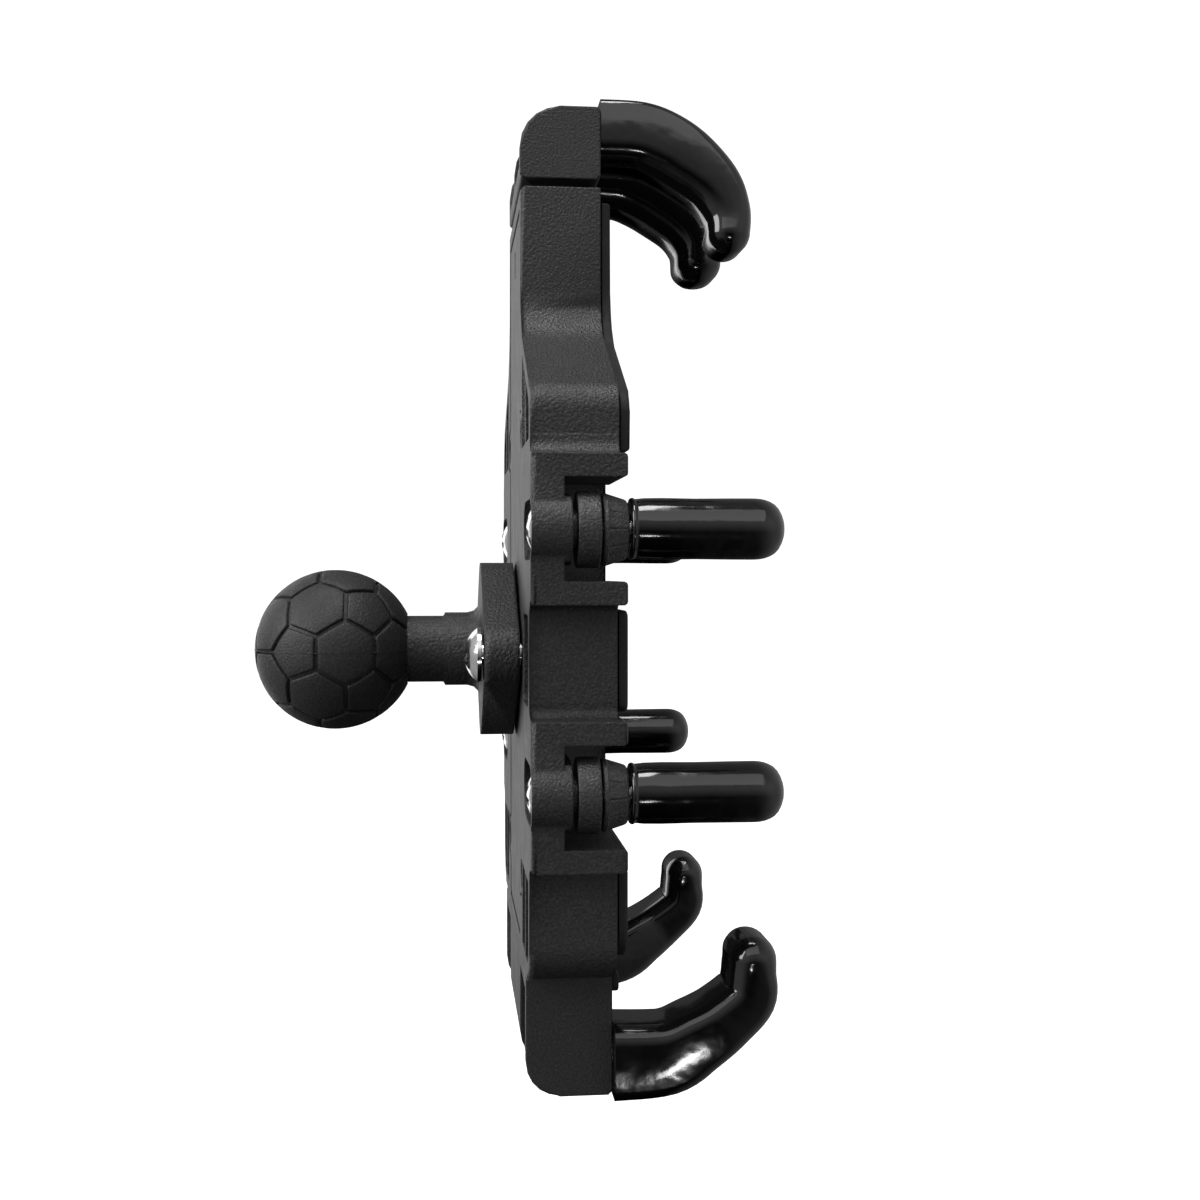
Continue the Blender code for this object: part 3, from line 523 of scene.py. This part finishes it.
def screw_piece(name, body, node, head_r, back, front, shank_r, end, turn):
    """A dome-headed screw that points forward, with a cross recess in its head."""
    x, z = middle_of(node)
    rim = front - 0.25 * (front - back)
    profile = dome_profile(head_r, rim - back, back)
    profile += [(head_r, front - 0.08), (head_r - 0.08, front), (shank_r, front), (shank_r, end - 0.3),
                (shank_r - 0.3, end), (0, end)]
    bm = bmesh.new()
    skin_rings(bm, turned_rings(bm, profile, x, z, 48))
    made = finish_piece(bm, name, "bright_steel", body, [node], 30)
    bottom = back + (rim - back) * 1.1
    for quarter_turn in (0, 90):
        cut(made, recess_tool(x, z, radians(turn + quarter_turn), head_r * RECESS_REACH,
                              head_r * RECESS_HALF_WIDTH, back - 1, bottom))
    made.data.set_sharp_from_angle(angle=radians(30))


# ---------------------------------------------------------------- the ball

def icosahedron_points():
    """Twelve directions, one of them forward; the near side looks at the middle of a hexagon."""
    ahead, near, up = Vector((0, -1, 0)), Vector((-1, 0, 0)), Vector((0, 0, 1))
    lean = radians(63.4349)
    points = [ahead]
    for polar, offset in ((lean, 36), (pi - lean, 0)):
        for k in range(5):
            turn = radians(offset + 72 * k)
            flat = near * cos(turn) + up * sin(turn)
            points.append(ahead * cos(polar) + flat * sin(polar))
    return points + [-ahead]


def ball_panels():
    """The outlines of a truncated icosahedron's faces, as lists of directions."""
    tips = icosahedron_points()
    close = [{j for j in range(12) if j != i and tips[i].dot(tips[j]) > 0.4} for i in range(12)]

    def corner(i, j):
        return (tips[i] * 2 + tips[j]).normalized()

    panels = []
    for i in range(12):
        flat_x = tips[i].orthogonal().normalized()
        flat_y = tips[i].cross(flat_x)
        around = sorted(close[i], key=lambda j: atan2(tips[j].dot(flat_y), tips[j].dot(flat_x)))
        panels.append([corner(i, j) for j in around])
    for i, j, k in combinations(range(12), 3):
        if j in close[i] and k in close[i] and k in close[j]:
            panels.append([corner(*pair) for pair in ((i, j), (j, i), (j, k), (k, j), (k, i), (i, k))])
    return panels


def panel_rings(bm, panel):
    """One panel of the ball: half a groove round its edge, then the smooth skin."""
    steps = 10
    middle = sum(panel, Vector()).normalized()
    edge = []
    for k, here in enumerate(panel):
        there = panel[(k + 1) % len(panel)]
        edge += [here.slerp(there, s / steps) for s in range(steps)]
    inner = (panel[0] + panel[1]).normalized().angle(middle)
    groove = [(0.0, GROOVE_DEPTH), (GROOVE_HALF_WIDTH * 0.68, GROOVE_DEPTH),
              (GROOVE_HALF_WIDTH * 0.84, GROOVE_DEPTH * 0.6), (GROOVE_HALF_WIDTH, 0.1),
              (GROOVE_HALF_WIDTH + 0.1, 0.02), (GROOVE_HALF_WIDTH + 0.24, 0.0)]
    scales = [(tan(inner - w / BALL_R) / tan(inner), BALL_R - drop) for w, drop in groove]
    last = scales[-1][0]
    scales += [(last * f, BALL_R) for f in (0.8, 0.6, 0.4, 0.2)]
    rings = []
    for scale, radius in scales:
        ring = []
        for direction in edge:
            flat = direction / direction.dot(middle) - middle
            place = (middle + flat * scale).normalized() * radius * MM
            ring.append(bm.verts.new(place))
        rings.append(ring)
    rings.append([bm.verts.new(middle * BALL_R * MM)])
    skin_rings(bm, rings)


def seam_ring():
    """The fine raised moulding seam round the ball's middle, level with its neck."""
    sunk, rise, root, crest = 0.3, 0.045, 0.09, 0.05
    section = [(BALL_R - sunk, -root), (BALL_R + rise, -crest), (BALL_R + rise, crest), (BALL_R - sunk, root)]
    turns = [2 * pi * k / 160 for k in range(160)]
    bm = bmesh.new()
    rings = [[bm.verts.new(point(reach * cos(turn), reach * sin(turn), level)) for turn in turns]
             for reach, level in section]
    skin_rings(bm, rings, closed=True)
    return bm


def core_hollow():
    """The room for the metal core and its neck, with a small gap around both."""
    inner_r = BALL_CORE_R + BALL_CORE_GAP
    opening = NECK_R + BALL_CORE_GAP
    hollow = [(inner_r * sin(radians(a)), -inner_r * cos(radians(a))) for a in range(0, 145, 8)]
    hollow = [(r, forward) for r, forward in hollow if not (forward > 0 and r < opening)]
    hollow += [(opening, sqrt(inner_r ** 2 - opening ** 2)), (opening, BALL_R + 1), (0, BALL_R + 1)]
    bm = bmesh.new()
    skin_rings(bm, turned_rings(bm, hollow, 0, 0, 64))
    return bm


def ball():
    """The rubber ball: grooved panels with a seam, hollow for the core, open for the neck."""
    bm = bmesh.new()
    for panel in ball_panels():
        panel_rings(bm, panel)
    bmesh.ops.remove_doubles(bm, verts=bm.verts, dist=0.02 * MM)
    made = finish_piece(bm, "ball_grooved_skin", "ball_rubber", "frame", ["ball_cover"], 60)
    cut(made, seam_ring(), "UNION")
    cut(made, core_hollow())
    made.data.set_sharp_from_angle(angle=radians(60))


# ---------------------------------------------------------------- springs

def spring(level, start, end):
    """The coil of a jaw's spring, clear of both its ends. The real spring stretches as its jaw slides; this
    coil keeps one length.
    """
    coil_r, wire, pitch, clear = 2.6, 0.45, 1.0, 3.0
    middle = 34.8
    sign = 1 if end > start else -1
    span = abs(end - start) - 2 * clear
    turns = int(span / pitch)
    path = []
    for i in range(turns * 16 + 1):
        angle = 2 * pi * i / 16
        z = start + sign * (clear + span * i / (turns * 16))
        path.append(Vector((coil_r * cos(angle), middle + coil_r * sin(angle), z)))
    bm = bmesh.new()
    rings = []
    for i, here in enumerate(path):
        before, after = path[max(i - 1, 0)], path[min(i + 1, len(path) - 1)]
        along = (after - before).normalized()
        out = Vector((here.x, here.y - middle, 0)).normalized()
        side = along.cross(out)
        rings.append([bm.verts.new(point(*(here + (out * cos(a) + side * sin(a)) * wire)))
                      for a in (2 * pi * k / 8 for k in range(8))])
    skin_rings(bm, rings)
    bm.faces.new(rings[0])
    bm.faces.new(rings[-1])
    made = finish_piece(bm, f"{level}_spring_coil", "dull_steel", None, (), 60)
    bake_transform(made)
    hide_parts(f"{level}_spring")


# ---------------------------------------------------------------- pieces from the CAD's own meshes

def dress(node, slot):
    """Give a CAD node that stays its material."""
    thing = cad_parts[node]
    thing.data.materials.clear()
    thing.data.materials.append(MATERIALS[slot])


def moulding(node, slot, body, taller=0.0, extra=None):
    """A moulded part with the CAD node's own shape, its curves smooth and its flats flat.

    Its top edge is raised by taller, and extra adds shapes to it.
    """
    bm = bmesh.new()
    bm.from_mesh(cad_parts[node].data)
    top_edge = max(v.co.z for v in bm.verts) - 1.5 * MM
    for v in bm.verts:
        if v.co.z > top_edge:
            v.co.z += taller * MM
    bmesh.ops.remove_doubles(bm, verts=bm.verts, dist=0.001 * MM)
    bmesh.ops.dissolve_limit(bm, angle_limit=radians(0.3), verts=bm.verts, edges=bm.edges)
    if extra:
        extra(bm)
    made = finish_piece(bm, node + "_moulding", slot, body, [node], 33)
    even = made.modifiers.new("even", "WEIGHTED_NORMAL")
    even.keep_sharp = True
    even.weight = 80


def shoulder_fillets(bm):
    """The hollow fillets where the shoulders' side walls stand on the upper ears."""
    wall, ear_top, reach, rise, sunk = 41.0, 28.2, 2.1, 2.6, 0.3
    back, front = 28.6, 40.55
    for sign in (-1, 1):
        outline = [(wall - sunk, ear_top - sunk), (wall - sunk, ear_top + rise)]
        outline += [(wall + reach - reach * sin(a), ear_top + rise - rise * cos(a))
                    for a in (radians(90 - 15 * k) for k in range(7))]
        outline += [(wall + reach, ear_top - sunk)]
        ends = [[bm.verts.new(point(sign * x, forward, z)) for x, z in outline] for forward in (back, front)]
        skin_rings(bm, ends)
        bm.faces.new(ends[0])
        bm.faces.new(ends[1])


def mouldings():
    moulding("frame_body", "frame_plastic", "frame", extra=shoulder_fillets)
    moulding("rear_cover", "cover_plastic", "frame")
    moulding("pad_upper", "pad_rubber", "frame", taller=3.0)
    moulding("pad_middle", "pad_rubber", "frame")
    moulding("pad_lower", "pad_rubber", "frame")
    moulding("lower_jaw_pad", "pad_rubber", "lower_jaw")
    moulding("ball_base", "base_casting", "frame")
    for level in LEVELS:
        moulding(f"{level}_jaw", "jaw_plastic", f"{level}_jaw")
        dress(f"{level}_spring_pin", "dull_steel")
        for side in SIDES:
            dress(f"{level}_hook_core_{side}", "dull_steel")
    for node in ("base_nut_left", "base_nut_right", "spring_anchor_pin"):
        dress(node, "dull_steel")


# ---------------------------------------------------------------- stage, in metres

# (name, place, width and height, power in watts)
LIGHTS = [
    ("overhead", (-0.10, 0.0, 0.60), (0.24, 0.24), 1.9),
    ("near_card", (-0.25, -0.02, 0.30), (0.44, 0.32), 0.40),
    ("behind_left", (-0.20, 0.55, 0.30), (0.35, 0.5), 3.6),
    ("far_card", (0.50, 0.28, 0.06), (0.34, 0.60), 0.9),
    ("low_lamp", (-0.55, -0.05, -0.28), (0.07, 0.02), 0.16),
]
LIGHTS_AIM = (0, -0.03, 0)
FLOOR_Z = -0.35
FLOOR_HALF = 4.0
CAMERA_PLACE = (-0.24242, -0.01665, 0.0121)
CAMERA_AIM = (0, -0.04232, 0.00777)
CAMERA_LENS = 45.06
CAMERA_SENSOR = 36.0


def turn_to(thing, place, aim):
    """Put a light or camera at place, looking at aim."""
    thing.location = place
    thing.rotation_mode = "QUATERNION"
    thing.rotation_quaternion = (Vector(aim) - Vector(place)).to_track_quat("-Z", "Y")


def area_light(name, place, size, power):
    light = bpy.data.lights.new(name, "AREA")
    light.energy = power
    light.shape = "RECTANGLE"
    light.size, light.size_y = size
    made = bpy.data.objects.new(name, light)
    bpy.context.scene.collection.objects.link(made)
    turn_to(made, place, LIGHTS_AIM)


def surround():
    """White to the camera. As light it is bright on the camera's side (-X) and above, fades to
    nothing below, and glows a little at both ends (along Y)."""
    world = bpy.data.worlds.new("surround")
    world.use_nodes = True
    tree = world.node_tree
    place = tree.nodes.new("ShaderNodeTexCoord")
    split = tree.nodes.new("ShaderNodeSeparateXYZ")
    link(tree, place.outputs["Generated"], split.inputs[0])
    near = value_range(tree, split.outputs["X"], low=1.0, high=0.25, start=-0.95, end=-0.35)
    above = value_range(tree, split.outputs["Z"], low=0.0, high=0.42, start=-0.22, end=0.35)
    endwise = tree.nodes.new("ShaderNodeMath")
    endwise.operation = "ABSOLUTE"
    link(tree, split.outputs["Y"], endwise.inputs[0])
    both_ends = value_range(tree, endwise.outputs[0], low=0.0, high=0.4, start=0.15, end=0.8)
    strength = tree.nodes.new("ShaderNodeMath")
    strength.operation = "MULTIPLY_ADD"
    for value, target in zip((near, above, both_ends), strength.inputs):
        link(tree, value, target)
    lit = tree.nodes["Background"]
    lit.inputs["Color"].default_value = (1, 1, 1, 1)
    link(tree, strength.outputs[0], lit.inputs["Strength"])
    pale = new_node(tree, "ShaderNodeBackground", Color=(1, 1, 1, 1), Strength=1.1)
    path = tree.nodes.new("ShaderNodeLightPath")
    mix = tree.nodes.new("ShaderNodeMixShader")
    link(tree, path.outputs["Is Camera Ray"], mix.inputs["Fac"])
    link(tree, lit.outputs["Background"], mix.inputs[1])
    link(tree, pale.outputs["Background"], mix.inputs[2])
    link(tree, mix.outputs["Shader"], tree.nodes["World Output"].inputs["Surface"])
    return world


def pale_floor():
    """A floor that looks white and neither lights the cradle nor shows in it."""
    bm = bmesh.new()
    corners = ((-1, -1), (1, -1), (1, 1), (-1, 1))
    bm.faces.new([bm.verts.new((FLOOR_HALF * x, FLOOR_HALF * y, FLOOR_Z)) for x, y in corners])
    mesh = bpy.data.meshes.new("floor")
    bm.to_mesh(mesh)
    bm.free()
    floor = bpy.data.objects.new("floor", mesh)
    bpy.context.scene.collection.objects.link(floor)
    paint = bpy.data.materials.new("floor_paint")
    paint.use_nodes = True
    shader = paint.node_tree.nodes["Principled BSDF"]
    shader.inputs["Base Color"].default_value = (0.9, 0.9, 0.9, 1)
    shader.inputs["Roughness"].default_value = 0.9
    shader.inputs["Emission Color"].default_value = (1, 1, 1, 1)
    shader.inputs["Emission Strength"].default_value = 1.0
    mesh.materials.append(paint)
    floor.visible_diffuse = False
    floor.visible_glossy = False


def stage():
    """The floor well below, the surround, the lights, and the camera at the photo's angle."""
    scene = bpy.context.scene
    scene.view_settings.view_transform = "Standard"
    scene.world = surround()
    for name, place, size, power in LIGHTS:
        area_light(name, place, size, power)
    pale_floor()
    lens = bpy.data.cameras.new("camera")
    lens.sensor_width = CAMERA_SENSOR
    lens.lens = CAMERA_LENS
    camera = bpy.data.objects.new("camera", lens)
    scene.collection.objects.link(camera)
    turn_to(camera, CAMERA_PLACE, CAMERA_AIM)
    scene.camera = camera


# ---------------------------------------------------------------- assembly

def build():
    mouldings()
    for level in LEVELS:
        for side in SIDES:
            hook_sleeve(level, side)
            name = f"cover_screw_{level}_{side}"
            screw_piece(name + "_cross", "frame", name, **SCREWS["cover"])
    for post in POSTS:
        screw = f"post_{post}_screw"
        x, z = middle_of(screw)
        post_cap(post, x, z)
        clamp_nut(post, x, z)
        collar(post, x, z)
        screw_piece(f"post_{post}_bolt", f"post_{post}", screw, **SCREWS["post"])
    for side in SIDES:
        screw_piece(f"base_screw_{side}_bolt", "frame", f"base_screw_{side}", **SCREWS["base"])
    ball()
    spring("upper", start=4.5, end=34.5)
    spring("lower", start=-4.5, end=-25.5)


build()
stage()
